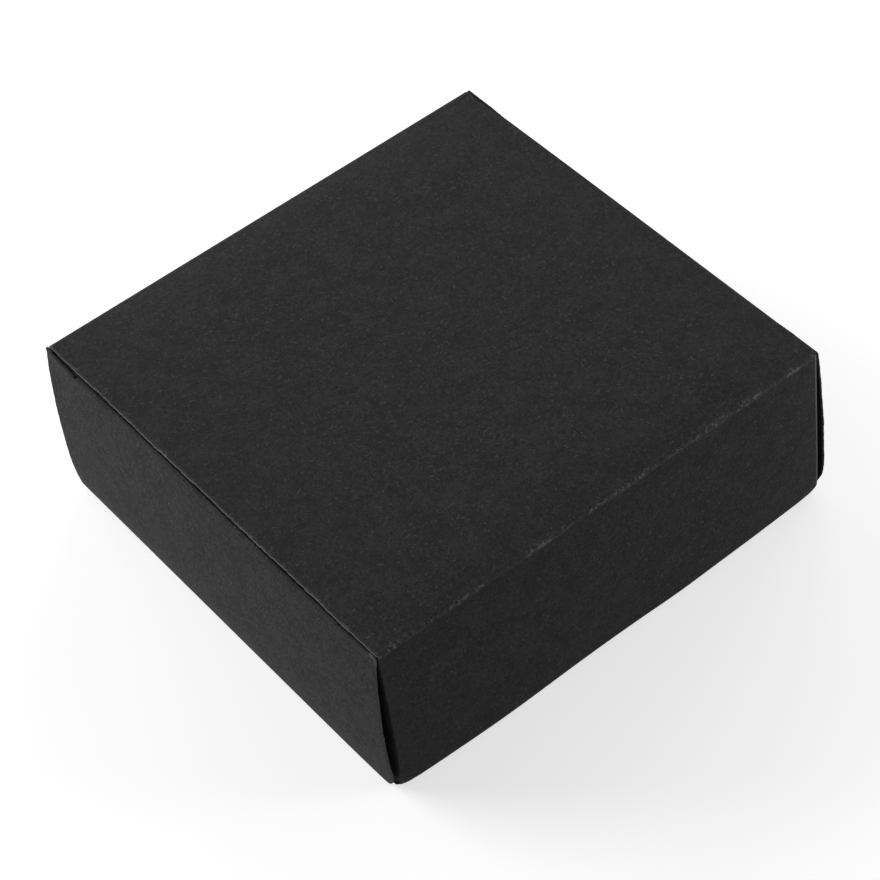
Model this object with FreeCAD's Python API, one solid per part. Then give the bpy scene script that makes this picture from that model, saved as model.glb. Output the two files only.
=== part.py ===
"""A small square carton of thin black board, closed, lying on one of its two large faces.

The tube runs along X, with its two ends closed by panels that hinge at the bottom and tuck in
under the top. The origin is under the middle of the tube, on the surface that it lies on.
+Z is up. Lengths are in millimetres and angles in degrees.
"""

import FreeCAD, Part

import math
import os

from FreeCAD import Vector

# Board and overall sizes
BOARD = 0.4
TUBE_LENGTH = 80.0
TUBE_WIDTH = 80.5
TUBE_HEIGHT = 31.0

# Outside radii of the folds
TOP_FOLD_RADIUS = 0.9
BOTTOM_FOLD_RADIUS = 1.5
SEAM_FOLD_RADIUS = 0.7
END_FOLD_RADIUS = 0.45

# Seam flap, glued inside the back wall
GLUE_FLAP_HEIGHT = 12.0
GLUE_FLAP_END_INSET = 3.0
GLUE_FLAP_END_TAPER = 14.0
GLUE_FLAP_CORNER_RADIUS = 1.5
GLUE_FILM = 0.1
GLUE_STRIPE_HEIGHT = 6.0
GLUE_STRIPE_FOOT = 3.0
GLUE_STRIPE_END_INSET = 8.0
BACK_EDGE_LIFT = 0.2

# End closures, whose creases stand outside the ends of the tube
HINGE_STANDOFF = 0.6
TUCK_CREASE_STANDOFF = 0.5
TUCK_CREASE_DROP = 0.7
CLOSURE_SIDE_RELIEF = 0.3
CLOSURE_FOOT_CORNER_RADIUS = 1.2
CLOSURE_HEAD_CORNER_RADIUS = 0.4
CREASE_CLEARANCE = 0.08

# How far each closure bows out beyond its creases, at its two side edges
LEFT_FRONT_BOW = 0.75
LEFT_BACK_BOW = 0.95
RIGHT_FRONT_BOW = 0.8
RIGHT_BACK_BOW = 0.5
# Share of a closure's height from its hinge, and share of the bow there
BOW_CURVE = ((0.0, 0.0), (0.07, 0.46), (0.33, 1.0), (0.62, 0.84), (0.88, 0.34), (1.0, 0.0))

# Tuck flaps, which droop from their crease so that they draw out under the top's cut edge
TUCK_LENGTH = 12.0
TUCK_SIDE_RELIEF = 2.0
TUCK_SIDE_TAPER = 4.0
TUCK_CORNER_RADIUS = 7.0
TUCK_DROOP_MARGIN = 2.0
TUCK_FOLD_IN = 25.0
LOCK_SLIT_LENGTH = 6.0
LOCK_SLIT_WIDTH = 0.5

# Dust flaps, folded in from the side walls behind the closures
DUST_LENGTH = 24.0
DUST_EDGE_GAP = 0.3
DUST_SHOULDER = 0.5
DUST_NOTCH_CLEARANCE = 0.4
DUST_TAPER = 15.0
DUST_FOOT_TAPER = 3.0
DUST_CORNER_RADIUS = 3.5

# Places that follow from the sizes above
HALF_LENGTH = TUBE_LENGTH / 2
HALF_WIDTH = TUBE_WIDTH / 2
HALF_BOARD = BOARD / 2
HINGE_HEIGHT = HALF_BOARD
TUCK_CREASE_HEIGHT = TUBE_HEIGHT - TUCK_CREASE_DROP
CLOSURE_RISE = TUCK_CREASE_HEIGHT - HINGE_HEIGHT
TUCK_DROOP = math.degrees(math.asin(TUCK_LENGTH / (2 * CLOSURE_RISE))) + TUCK_DROOP_MARGIN
SEAM_FACE = HALF_WIDTH - BOARD - GLUE_FILM

SIDES = {"left": -1, "right": 1}
WALLS = {"front": -1, "back": 1}
BOW = {
    "left": {"front": LEFT_FRONT_BOW, "back": LEFT_BACK_BOW},
    "right": {"front": RIGHT_FRONT_BOW, "back": RIGHT_BACK_BOW},
}
# Radius that the foot of a closure and of a dust flap keeps clear of at each wall
FOOT_FOLD_RADIUS = {"front": BOTTOM_FOLD_RADIUS, "back": TOP_FOLD_RADIUS}
ORIGIN = Vector(0, 0, 0)
ALONG_X = Vector(1, 0, 0)
ALONG_Y = Vector(0, 1, 0)


def solid_of(edges, sweep):
    """The solid that a closed loop of edges sweeps out along a vector."""
    wire = Part.Wire(Part.__sortEdges__(edges))
    return Part.Face(wire).extrude(sweep)


def half_fold(radius, depth):
    """Crease line, middle and flat end of half a fold, at a depth under the outside face."""
    reach = radius - depth
    points = []
    for turn in (135.0, 112.5, 90.0):
        angle = math.radians(turn)
        points.append((radius + reach * math.cos(angle), reach * math.sin(angle) - radius))
    return points


def skin(span, depth, first_radius, last_radius):
    """One face of a folded panel's section: its edges, first point and last point."""
    first = [(0.0, -depth)]
    if first_radius:
        first = half_fold(first_radius, depth)
    last = [(span, -depth)]
    if last_radius:
        last = [(span - across, up) for across, up in reversed(half_fold(last_radius, depth))]
    first = [Vector(0, across, up) for across, up in first]
    last = [Vector(0, across, up) for across, up in last]
    edges = [Part.makeLine(first[-1], last[0])]
    for points in (first, last):
        if len(points) > 1:
            edges.append(Part.Arc(*points).toShape())
    return edges, first[0], last[-1]


def folded_panel(span, length, first_radius=None, last_radius=None):
    """A panel along X with half a fold at each creased edge, and no radius at a cut edge.

    It lies with its outside face up at Z = 0, and runs across from Y = 0 to Y = span.
    """
    outside, outside_first, outside_last = skin(span, 0.0, first_radius, last_radius)
    inside, inside_first, inside_last = skin(span, BOARD, first_radius, last_radius)
    ends = [
        Part.makeLine(outside_first, inside_first),
        Part.makeLine(outside_last, inside_last),
    ]
    panel = solid_of(outside + inside + ends, Vector(length, 0, 0))
    panel.translate(Vector(-length / 2, 0, 0))
    return panel


def placed(panel, turn, y, z):
    """A panel turned about X, with its outside first edge brought to Y = y and Z = z."""
    panel.rotate(ORIGIN, ALONG_X, turn)
    panel.translate(Vector(0, y, z))
    return panel


def rounded_outline(corners, place):
    """A loop of edges through corners given as (a, b, radius). place turns (a, b) into a point."""
    spans = []
    count = len(corners)
    for i, (a, b, radius) in enumerate(corners):
        corner = place(a, b)
        back = (place(*corners[i - 1][:2]) - corner).normalize()
        ahead = (place(*corners[(i + 1) % count][:2]) - corner).normalize()
        if radius:
            half_angle = back.getAngle(ahead) / 2
            setback = radius / math.tan(half_angle)
            reach = radius / math.sin(half_angle) - radius
            middle = corner + (back + ahead).normalize() * reach
            spans.append((corner + back * setback, middle, corner + ahead * setback))
        else:
            spans.append((corner, None, corner))
    edges = []
    for i, (start, middle, end) in enumerate(spans):
        if middle:
            edges.append(Part.Arc(start, middle, end).toShape())
        edges.append(Part.makeLine(end, spans[(i + 1) % count][0]))
    return edges


def tube_plan():
    """The tube's full height, with its corners rounded where the dust flaps fold in."""
    corners = []
    for x, y in ((-1, -1), (1, -1), (1, 1), (-1, 1)):
        corners.append((x * HALF_LENGTH, y * HALF_WIDTH, END_FOLD_RADIUS))
    outline = rounded_outline(corners, lambda a, b: Vector(a, b, 0))
    return solid_of(outline, Vector(0, 0, TUBE_HEIGHT))


def top_panel():
    """The large upper face, whose two cut ends lie over the tuck flaps."""
    panel = folded_panel(TUBE_WIDTH, TUBE_LENGTH, TOP_FOLD_RADIUS, TOP_FOLD_RADIUS)
    return placed(panel, 0, -HALF_WIDTH, TUBE_HEIGHT)


def front_wall():
    panel = folded_panel(TUBE_HEIGHT, TUBE_LENGTH, BOTTOM_FOLD_RADIUS, TOP_FOLD_RADIUS)
    return placed(panel, 90, -HALF_WIDTH, 0).common(tube_plan())


def back_wall():
    """The wall over the seam flap: its lower edge is cut, just clear of the table."""
    panel = folded_panel(TUBE_HEIGHT - BACK_EDGE_LIFT, TUBE_LENGTH, TOP_FOLD_RADIUS)
    return placed(panel, -90, HALF_WIDTH, TUBE_HEIGHT).common(tube_plan())


def bottom_panel():
    """The lower face, which reaches past the tube to the hinge creases of the closures."""
    reach = HINGE_STANDOFF - HALF_BOARD - CREASE_CLEARANCE
    length = TUBE_LENGTH + 2 * reach
    span = SEAM_FACE + HALF_WIDTH
    panel = folded_panel(span, length, SEAM_FOLD_RADIUS, BOTTOM_FOLD_RADIUS)
    panel = placed(panel, 180, SEAM_FACE, 0)
    for side in SIDES.values():
        for wall, across in WALLS.items():
            relief = 2 * (FOOT_FOLD_RADIUS[wall] + CLOSURE_SIDE_RELIEF)
            notch = Part.makeBox(2 * reach, relief, relief)
            x = side * (HALF_LENGTH + reach) - reach
            notch.translate(Vector(x, across * HALF_WIDTH - relief / 2, -relief / 2))
            panel = panel.cut(notch)
    return panel


def glue_flap():
    """The seam flap, folded up inside the back wall, with its ends cut back on a slant."""
    flap = folded_panel(GLUE_FLAP_HEIGHT, TUBE_LENGTH, None, SEAM_FOLD_RADIUS)
    flap = placed(flap, -90, SEAM_FACE, GLUE_FLAP_HEIGHT)
    foot = HALF_LENGTH - GLUE_FLAP_END_INSET
    head = foot - GLUE_FLAP_HEIGHT * math.tan(math.radians(GLUE_FLAP_END_TAPER))
    corners = [
        (-foot, 0.0, 0.0),
        (foot, 0.0, 0.0),
        (head, GLUE_FLAP_HEIGHT, GLUE_FLAP_CORNER_RADIUS),
        (-head, GLUE_FLAP_HEIGHT, GLUE_FLAP_CORNER_RADIUS),
    ]
    outline = rounded_outline(corners, lambda a, b: Vector(a, HALF_WIDTH - TUBE_WIDTH / 4, b))
    return flap.common(solid_of(outline, Vector(0, TUBE_WIDTH / 4, 0)))


def seam_glue():
    """The dried stripe of glue between the seam flap and the back wall."""
    length = TUBE_LENGTH - 2 * GLUE_STRIPE_END_INSET
    stripe = Part.makeBox(length, GLUE_FILM, GLUE_STRIPE_HEIGHT)
    stripe.translate(Vector(-length / 2, SEAM_FACE, GLUE_STRIPE_FOOT))
    return stripe


def closure_section(end, wall):
    """The bowed board of a closure at one of its side edges, as a closed wire."""
    side = SIDES[end]
    y = WALLS[wall] * (HALF_WIDTH - CLOSURE_SIDE_RELIEF)
    faces = []
    for depth in (-HALF_BOARD, HALF_BOARD):
        points = []
        for height_share, bow_share in BOW_CURVE:
            lean = height_share * (TUCK_CREASE_STANDOFF - HINGE_STANDOFF)
            out = HINGE_STANDOFF + lean + bow_share * BOW[end][wall] + depth
            z = HINGE_HEIGHT + height_share * CLOSURE_RISE
            points.append(Vector(side * (HALF_LENGTH + out), y, z))
        faces.append(points)
    inside, outside = faces
    below = (inside[0] + outside[0]) * 0.5 - Vector(0, 0, HALF_BOARD)
    above = (inside[-1] + outside[-1]) * 0.5 + Vector(0, 0, HALF_BOARD)
    inner_curve = Part.BSplineCurve()
    inner_curve.interpolate(inside)
    outer_curve = Part.BSplineCurve()
    outer_curve.interpolate(outside[::-1])
    edges = [
        inner_curve.toShape(),
        Part.Arc(inside[-1], above, outside[-1]).toShape(),
        outer_curve.toShape(),
        Part.Arc(outside[0], below, inside[0]).toShape(),
    ]
    return Part.Wire(edges)


def closure(end):
    """An end panel with round creases at its foot and head, bowed more at one side edge."""
    sections = [closure_section(end, "front"), closure_section(end, "back")]
    bowed = Part.makeLoft(sections, True, True)
    side_edge = HALF_WIDTH - CLOSURE_SIDE_RELIEF
    head = TUCK_CREASE_HEIGHT + HALF_BOARD
    corners = [
        (-side_edge, 0.0, CLOSURE_FOOT_CORNER_RADIUS),
        (side_edge, 0.0, CLOSURE_FOOT_CORNER_RADIUS),
        (side_edge, head, CLOSURE_HEAD_CORNER_RADIUS),
        (-side_edge, head, CLOSURE_HEAD_CORNER_RADIUS),
    ]
    outline = rounded_outline(corners, lambda a, b: Vector(0, a, b))
    return bowed.common(solid_of(outline, Vector(SIDES[end] * TUBE_LENGTH, 0, 0)))


def tuck_flap(end):
    """The flap on a closure's head: round corners, and a lock slit at each end of its crease."""
    closed_angle = 90 - TUCK_DROOP - TUCK_FOLD_IN
    start = HALF_BOARD / math.tan(math.radians(closed_angle / 2)) + CREASE_CLEARANCE
    slit = start + LOCK_SLIT_WIDTH
    root = HALF_WIDTH - BOARD - TUCK_SIDE_RELIEF
    tip = root - (TUCK_LENGTH - slit) * math.tan(math.radians(TUCK_SIDE_TAPER))
    neck = root - LOCK_SLIT_LENGTH
    corners = [
        (start, -neck, 0.0),
        (slit, -neck, 0.0),
        (slit, -root, 0.0),
        (TUCK_LENGTH, -tip, TUCK_CORNER_RADIUS),
        (TUCK_LENGTH, tip, TUCK_CORNER_RADIUS),
        (slit, root, 0.0),
        (slit, neck, 0.0),
        (start, neck, 0.0),
    ]
    side = SIDES[end]
    crease = Vector(side * (HALF_LENGTH + TUCK_CREASE_STANDOFF), 0, TUCK_CREASE_HEIGHT)
    outline = rounded_outline(corners, lambda a, b: Vector(-side * a, b, -HALF_BOARD))
    flap = solid_of(outline, Vector(0, 0, BOARD))
    flap.rotate(ORIGIN, ALONG_Y, -side * TUCK_DROOP)
    flap.translate(crease)
    return flap


def dust_flap(end, wall):
    """A flap folded in from a side wall. Its head is cut down below the tuck flap's path."""
    inner_fold = FOOT_FOLD_RADIUS[wall] - BOARD
    foot = BOARD + DUST_EDGE_GAP
    head = TUBE_HEIGHT - BOARD - DUST_EDGE_GAP
    tuck_path = HINGE_HEIGHT + CLOSURE_RISE * math.cos(math.radians(TUCK_DROOP)) - HALF_BOARD
    notch = tuck_path - DUST_NOTCH_CLEARANCE
    notch_end = DUST_SHOULDER + head - notch
    tip_head = notch - (DUST_LENGTH - notch_end) * math.tan(math.radians(DUST_TAPER))
    tip_foot = foot + DUST_LENGTH * math.tan(math.radians(DUST_FOOT_TAPER))
    corners = [
        (CREASE_CLEARANCE, foot + inner_fold, 0.0),
        (CREASE_CLEARANCE + inner_fold, foot, 0.0),
        (DUST_LENGTH, tip_foot, DUST_CORNER_RADIUS),
        (DUST_LENGTH, tip_head, DUST_CORNER_RADIUS),
        (notch_end, notch, 0.0),
        (DUST_SHOULDER, head, 0.0),
        (CREASE_CLEARANCE, head - DUST_SHOULDER + CREASE_CLEARANCE, 0.0),
    ]
    x = SIDES[end] * HALF_LENGTH
    if SIDES[end] > 0:
        x -= BOARD
    across = WALLS[wall]
    inner_face = across * (HALF_WIDTH - BOARD)
    outline = rounded_outline(corners, lambda a, b: Vector(x, inner_face - across * a, b))
    return solid_of(outline, Vector(BOARD, 0, 0))


def carton():
    """Every piece of the carton, by name."""
    pieces = {
        "top_panel": top_panel(),
        "front_wall": front_wall(),
        "bottom_panel": bottom_panel(),
        "back_wall": back_wall(),
        "glue_flap": glue_flap(),
        "seam_glue": seam_glue(),
    }
    for end in SIDES:
        pieces[end + "_closure"] = closure(end)
        pieces[end + "_tuck_flap"] = tuck_flap(end)
        for wall in WALLS:
            pieces[end + "_" + wall + "_dust_flap"] = dust_flap(end, wall)
    return pieces


os.makedirs("parts", exist_ok=True)
for name, piece in carton().items():
    piece.exportStep("parts/" + name + ".step")
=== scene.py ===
import math

import bmesh
import bpy
import numpy as np
from mathutils import Matrix, Vector


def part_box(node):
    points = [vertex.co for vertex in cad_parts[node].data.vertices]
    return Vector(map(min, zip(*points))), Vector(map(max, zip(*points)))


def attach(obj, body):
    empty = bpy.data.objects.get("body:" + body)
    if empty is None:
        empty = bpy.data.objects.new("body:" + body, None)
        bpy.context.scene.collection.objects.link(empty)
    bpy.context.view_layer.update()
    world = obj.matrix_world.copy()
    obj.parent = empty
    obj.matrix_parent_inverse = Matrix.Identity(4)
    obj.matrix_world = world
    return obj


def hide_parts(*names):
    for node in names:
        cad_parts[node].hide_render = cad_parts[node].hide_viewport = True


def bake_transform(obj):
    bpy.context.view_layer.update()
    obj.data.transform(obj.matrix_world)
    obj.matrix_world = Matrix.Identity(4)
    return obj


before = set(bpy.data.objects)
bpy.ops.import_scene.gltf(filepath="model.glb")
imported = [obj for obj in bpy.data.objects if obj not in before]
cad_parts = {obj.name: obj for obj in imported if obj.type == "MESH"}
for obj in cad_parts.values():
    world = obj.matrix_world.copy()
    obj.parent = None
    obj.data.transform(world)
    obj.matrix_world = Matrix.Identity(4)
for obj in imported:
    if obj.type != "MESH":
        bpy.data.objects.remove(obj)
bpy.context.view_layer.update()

# Lengths are in millimetres until a mesh is made, and in metres in the materials.
MM = 0.001
top_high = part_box("top_panel")[1]
front_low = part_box("front_wall")[0]
HALF_LENGTH = top_high.x / MM
HALF_WIDTH = -front_low.y / MM
TUBE_HEIGHT = top_high.z / MM
SIDES = {"left": -1, "right": 1}
WALLS = {"front": -1, "back": 1}

# The board and the radii of its folds
BOARD = 0.4
HALF_BOARD = BOARD / 2
TOP_FOLD_RADIUS = 0.9
FRONT_FOLD_RADIUS = 0.6
BOTTOM_FOLD_RADIUS = 1.5
SEAM_FOLD_RADIUS = 0.7
END_FOLD_RADIUS = 0.22
HEAD_FOLD_RADIUS = 0.45

# The seam
GLUE_FILM = 0.1
SEAM_FACE = HALF_WIDTH - (BOARD + GLUE_FILM)
BACK_EDGE_LIFT = 0.2

# The creases of the closures and of their tuck flaps
HINGE_STANDOFF = 0.6
HINGE_HEIGHT = HALF_BOARD
TUCK_CREASE_STANDOFF = 0.5
TUCK_CREASE_DROP = 0.7
TUCK_CREASE_HEIGHT = TUBE_HEIGHT - TUCK_CREASE_DROP
CREASE_CLEARANCE = 0.08
BOTTOM_REACH = HINGE_STANDOFF - HALF_BOARD - CREASE_CLEARANCE

# How the board is meshed
CELL = 2.0
ARC_STEPS = 6
ROUNDING_STEP = 0.5
ROUNDING_STEPS_AT_LEAST = 4
EDGE_STEP = 0.3
BESIDE_FOLD = (0.3, 0.7, 1.3)
BESIDE_CUT = (0.4, 1.0)
ON_LINE = 1e-4
MERGED = 1e-5
NUDGE = 0.01
TINY = 1e-9

# A cut edge: its worn arris, its fray from point to point and its slow wander
ARRIS = 0.05
FRAY = 0.035
EDGE_WANDER = 0.07
WANDER_WAVES = ((23.0, 0.5), (9.0, 0.4), (4.1, 0.3), (2.3, 0.2))
UNDER_ARRIS = 0.001

# How pale a cut edge is: its own dark core, then painted light and painted highlights on some edges
CUT_GREY = 0.016
# Painted light: lifts the closures' shoulder edges out of the top panel's shade
SHOULDER_PAINTED_LIGHT_GREY = 0.035
# Painted highlight down the left closure's near side edge
SIDE_HIGHLIGHT_GREY = 0.075
# Frayed fibre with a painted highlight, on the top panel's cut edges and a closure's front head
# corner
FRAYED_AND_HIGHLIGHT_GREY = 0.122

# A distance too far from any rubbed fold or painted highlight to show
NO_FOLD_NEAR = 20.0


# Flat outlines

def turned(vector, angle):
    c, s = math.cos(angle), math.sin(angle)
    return Vector((vector.x * c - vector.y * s, vector.x * s + vector.y * c))


def rounded(corners):
    """Points of a closed outline through corners given as (u, v, radius)."""
    points = []
    count = len(corners)
    for i, (u, v, radius) in enumerate(corners):
        corner = Vector((u, v))
        if not radius:
            points.append(corner)
            continue
        back = (Vector(corners[i - 1][:2]) - corner).normalized()
        ahead = (Vector(corners[(i + 1) % count][:2]) - corner).normalized()
        half_angle = back.angle(ahead) / 2
        setback = radius / math.tan(half_angle)
        centre = corner + (back + ahead).normalized() * (radius / math.sin(half_angle))
        start = corner + back * setback - centre
        turn = math.pi - 2 * half_angle
        if start.cross(corner + ahead * setback - centre) < 0:
            turn = -turn
        steps = max(ROUNDING_STEPS_AT_LEAST, round(radius * abs(turn) / ROUNDING_STEP))
        points += [centre + turned(start, turn * k / steps) for k in range(steps + 1)]
    return points


def finely(points):
    """The same outline with no side longer than a step."""
    fine = []
    for i, point in enumerate(points):
        onward = points[(i + 1) % len(points)] - point
        parts = max(1, math.ceil(onward.length / EDGE_STEP))
        fine += [point + onward * (k / parts) for k in range(parts)]
    return fine


def strip(u0, u1, v0, v1):
    return [Vector(p) for p in ((u0, v0), (u1, v0), (u1, v1), (u0, v1))]


def lines_between(first, last, step):
    count = max(1, round((last - first) / step))
    return [first + (last - first) * k / count for k in range(1, count)]


def ruled(outline, columns, rows):
    """Corners and faces of the outline's flat, cut along lines of constant u and v."""
    bm = bmesh.new()
    bm.faces.new([bm.verts.new((p.x, p.y, 0)) for p in outline])
    for axis, lines in enumerate((columns, rows)):
        normal = Vector((axis == 0, axis == 1, 0))
        for line in lines:
            bmesh.ops.bisect_plane(
                bm,
                geom=bm.verts[:] + bm.edges[:] + bm.faces[:],
                dist=MERGED,
                plane_co=normal * line,
                plane_no=normal,
            )
    bmesh.ops.dissolve_degenerate(bm, dist=MERGED, edges=bm.edges[:])
    bm.normal_update()
    bm.verts.index_update()
    flat = np.array([v.co[:2] for v in bm.verts])
    faces = [[v.index for v in f.verts] for f in bm.faces]
    if sum(f.normal.z for f in bm.faces) < 0:
        faces = [f[::-1] for f in faces]
    bm.free()
    return flat, faces


def outer_edges(faces):
    """The edges that only one face has, in that face's direction."""
    edges = [pair for face in faces for pair in zip(face, face[1:] + face[:1])]
    seen = set(edges)
    return [(a, b) for a, b in edges if (b, a) not in seen]


def outward_at(flat, edges):
    """Unit vectors that point out of the outline at its corners, and 0 inside it."""
    outward = np.zeros_like(flat)
    for a, b in edges:
        d = flat[b] - flat[a]
        n = np.array((d[1], -d[0])) / max(np.hypot(*d), TINY)
        outward[a] += n
        outward[b] += n
    rim = np.unique(np.array(edges))
    outward[rim] /= np.hypot(outward[rim, 0], outward[rim, 1])[:, None]
    return outward, rim


# Sheets of board

def wander(x, seed):
    """A cut's slow, uneven wander along its length, between about -1 and 1."""
    rng = np.random.default_rng(seed)
    total = np.zeros_like(x)
    for wavelength, size in WANDER_WAVES:
        total += size * np.sin(2 * math.pi * (x / wavelength + rng.uniform()))
    return total


def frayed(name, flat, raw):
    """How far each point of the raw edges stands out."""
    rng = np.random.default_rng(sum(map(ord, name)))
    fray = np.zeros(len(flat))
    fray[raw] = FRAY * rng.uniform(-1.0, 1.0, raw.sum())
    fray[raw] += EDGE_WANDER * wander(flat[raw].sum(axis=1), len(name))
    return fray


def facing(place, u, v):
    """Unit vectors along u, along v and out of the sheet at each point."""
    along_u = place(u + NUDGE, v) - place(u - NUDGE, v)
    along_v = place(u, v + NUDGE) - place(u, v - NUDGE)
    along_u /= np.linalg.norm(along_u, axis=1)[:, None]
    along_v /= np.linalg.norm(along_v, axis=1)[:, None]
    out = np.cross(along_u, along_v)
    out /= np.linalg.norm(out, axis=1)[:, None]
    return along_u, along_v, out


def sheet_points(place, flat, outward, rim, raw, fray):
    """Points and normals of the sheet's two faces, then of the two lines round its cut edge."""

    def at(shift, depth):
        u = flat[:, 0] + outward[:, 0] * shift
        v = flat[:, 1] + outward[:, 1] * shift
        return place(u, v) + facing(place, u, v)[2] * depth[:, None]

    face_depth = np.full(len(flat), HALF_BOARD)
    face_shift = np.where(raw, fray - ARRIS, 0.0)
    edge_depth = np.where(raw, HALF_BOARD - ARRIS, HALF_BOARD - UNDER_ARRIS)
    along_u, along_v, out = facing(place, flat[:, 0], flat[:, 1])
    side = along_u * outward[:, :1] + along_v * outward[:, 1:]
    points = [at(face_shift, face_depth), at(face_shift, -face_depth)]
    points += [at(fray, edge_depth)[rim], at(fray, -edge_depth)[rim]]
    return np.concatenate(points), np.concatenate([out, -out, side[rim], side[rim]])


def edge_faces(edges, rim, count):
    """Three rows of faces round the cut edge, for sheet_points of so many flat points."""
    ring = {int(v): 2 * count + k for k, v in enumerate(rim)}
    faces = []
    for a, b in edges:
        upper_a, upper_b = ring[a], ring[b]
        lower_a, lower_b = upper_a + len(rim), upper_b + len(rim)
        faces.append([b, a, upper_a, upper_b])
        faces.append([upper_b, upper_a, lower_a, lower_b])
        faces.append([lower_b, lower_a, count + a, count + b])
    return faces


def unrubbed(u, v):
    return NO_FOLD_NEAR, 0.0


def plain_cut(u, v):
    return CUT_GREY


def board(name, outline, place, columns, rows, joined, rub_and_highlight=unrubbed, edge_grey=plain_cut,
          skin="black_board"):
    """A sheet of board 0.4 mm thick, with a slightly frayed edge wherever it was cut.

    place(u, v) gives the middle of the board, with the outside face along u cross v.
    joined(u, v) says where an edge of the outline runs on into the next sheet.
    rub_and_highlight(u, v) is the distance from a fold that is rubbed pale or carries a painted
    highlight, and how even that painted highlight is.
    edge_grey(u, v) is how pale a cut edge is, painted light and painted highlights included.
    """
    place = handled(place)
    flat, faces = ruled(outline, columns, rows)
    u, v = flat.T
    count = len(flat)
    edges = outer_edges(faces)
    outward, rim = outward_at(flat, edges)
    on_rim = np.zeros(count, bool)
    on_rim[rim] = True
    raw = on_rim & ~joined(u, v)
    points, normals = sheet_points(place, flat, outward, rim, raw, frayed(name, flat, raw))

    skins = faces + [[count + i for i in f[::-1]] for f in faces]
    mesh = bpy.data.meshes.new(name)
    mesh.from_pydata((points * MM).tolist(), [], skins + edge_faces(edges, rim, count))
    for k, polygon in enumerate(mesh.polygons):
        polygon.use_smooth = True
        polygon.material_index = 0 if k < len(skins) else 1
    mesh.update()
    mesh.normals_split_custom_set_from_vertices(normals.tolist())

    distance, highlight_evenness = (np.full(len(points), value) for value in unrubbed(u, v))
    distance[:count], highlight_evenness[:count] = rub_and_highlight(u, v)
    paleness = np.zeros(count) + edge_grey(u, v)
    paleness = np.concatenate([paleness, paleness, paleness[rim], paleness[rim]])
    for key, values in (
        ("from_fold", distance * MM), ("rub_highlight_evenness", highlight_evenness), ("edge_grey", paleness)
    ):
        layer = mesh.attributes.new(key, "FLOAT", "POINT")
        layer.data.foreach_set("value", values.astype(np.float32))
    mesh.materials.append(materials[skin])
    mesh.materials.append(materials["cut_edge"])
    piece = bpy.data.objects.new(name, mesh)
    bpy.context.scene.collection.objects.link(piece)
    return piece


# Folds

SWELL_POWER = 1.4


def half_arc(radius):
    """Length of the board's middle round half a right-angled fold."""
    return (radius - HALF_BOARD) * math.pi / 4 if radius else 0.0


def folded(v, span, first, last):
    """Across, up and lean of a panel's middle, v along it from its first crease.

    The outside of the flat is at up = 0. A radius of 0 is a cut edge.
    """
    lead = half_arc(first)
    flat = span - first - last
    across = first + v - lead
    up = np.full_like(v, -HALF_BOARD)
    lean = np.zeros_like(v)
    if first:
        reach = first - HALF_BOARD
        turn = (lead - v) / reach
        on = turn > 0
        across = np.where(on, first - reach * np.sin(turn), across)
        up = np.where(on, reach * np.cos(turn) - first, up)
        lean = np.where(on, -turn, lean)
    if last:
        reach = last - HALF_BOARD
        turn = (v - lead - flat) / reach
        on = turn > 0
        across = np.where(on, span - last + reach * np.sin(turn), across)
        up = np.where(on, reach * np.cos(turn) - last, up)
        lean = np.where(on, turn, lean)
    return across, up, lean


def panel_length(span, first, last):
    return span - first - last + half_arc(first) + half_arc(last)


def arc_rows(length, first, last):
    """Lines across a panel: close together round its folds, and wide apart on its flat."""
    lead, tail = half_arc(first), half_arc(last)
    far = BESIDE_FOLD[-1]
    rows = [lead * k / ARC_STEPS for k in range(1, ARC_STEPS + 1) if first]
    rows += [lead + d for d in BESIDE_FOLD]
    rows += lines_between(lead + far, length - tail - far, CELL)
    rows += [length - tail - d for d in BESIDE_FOLD]
    rows += [length - tail * k / ARC_STEPS for k in range(1, ARC_STEPS + 1) if last]
    return sorted(set(r for r in rows if ON_LINE < r < length - ON_LINE))


def smooth_step(t):
    return t * t * (3 - 2 * t)


def swell(distance, reach):
    """0 at an edge, 1 well away from it, with no slope at the edge itself."""
    return 1 - np.exp(-np.power(np.maximum(distance, 0.0) / reach, SWELL_POWER))


# What handling did to the tube's front foot and left end

# How far the two ends of the front bottom fold are pushed in, in two lengths of decay
CORNER_DENT = {"left": 1.0, "right": 1.3}
DENT_NEAR = 0.9
DENT_FAR = 4.0
DENT_FAR_SHARE = 0.35
DENT_WIDTH = 1.6
DENT_OUTSIDE = 0.4

# How far the front wall's left end is drawn in at half its height
WAIST = 0.38
WAIST_LENGTH = 2.5
WAIST_DEPTH = 4.0
WAIST_POWER = 0.8
WAIST_OUTSIDE = 0.05

# Where along X the front wall's foot stands out or is pushed in, how far, and over what length
FOOT_SWELLS = ((-21.0, 0.3, 11.0), (12.0, 0.2, 7.0), (35.0, -0.25, 8.0))
FOOT_SWELL_HEIGHT = 5.0


def beyond_tube(x):
    """How far x is past the tube's ends, as a share of the length that a push dies out in."""
    return np.maximum(np.abs(x) - HALF_LENGTH, 0.0) / DENT_OUTSIDE


def corner_dent(x, y, z):
    """The push in along Y and up along Z at the two ends of the front bottom fold."""
    from_end = np.maximum(HALF_LENGTH - np.abs(x), 0.0)
    decay = (1 - DENT_FAR_SHARE) * np.exp(-from_end / DENT_NEAR)
    decay += DENT_FAR_SHARE * np.exp(-from_end / DENT_FAR)
    from_fold = np.hypot(y + HALF_WIDTH, z) / DENT_WIDTH
    size = np.where(x < 0, CORNER_DENT["left"], CORNER_DENT["right"]) * math.sqrt(0.5)
    outside = beyond_tube(x)
    return size * decay * np.exp(-from_fold * from_fold - outside * outside)


def foot_swell(x, y, z):
    """The push along Y at the front wall's foot, shared by the bottom panel's front edge."""
    near = np.exp(-np.hypot(y + HALF_WIDTH, z) ** 2 / FOOT_SWELL_HEIGHT**2)
    within = np.exp(-(beyond_tube(x) ** 2))
    total = sum(
        size * np.exp(-(((x - middle) / length) ** 2)) for middle, size, length in FOOT_SWELLS
    )
    return -total * near * within


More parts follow.
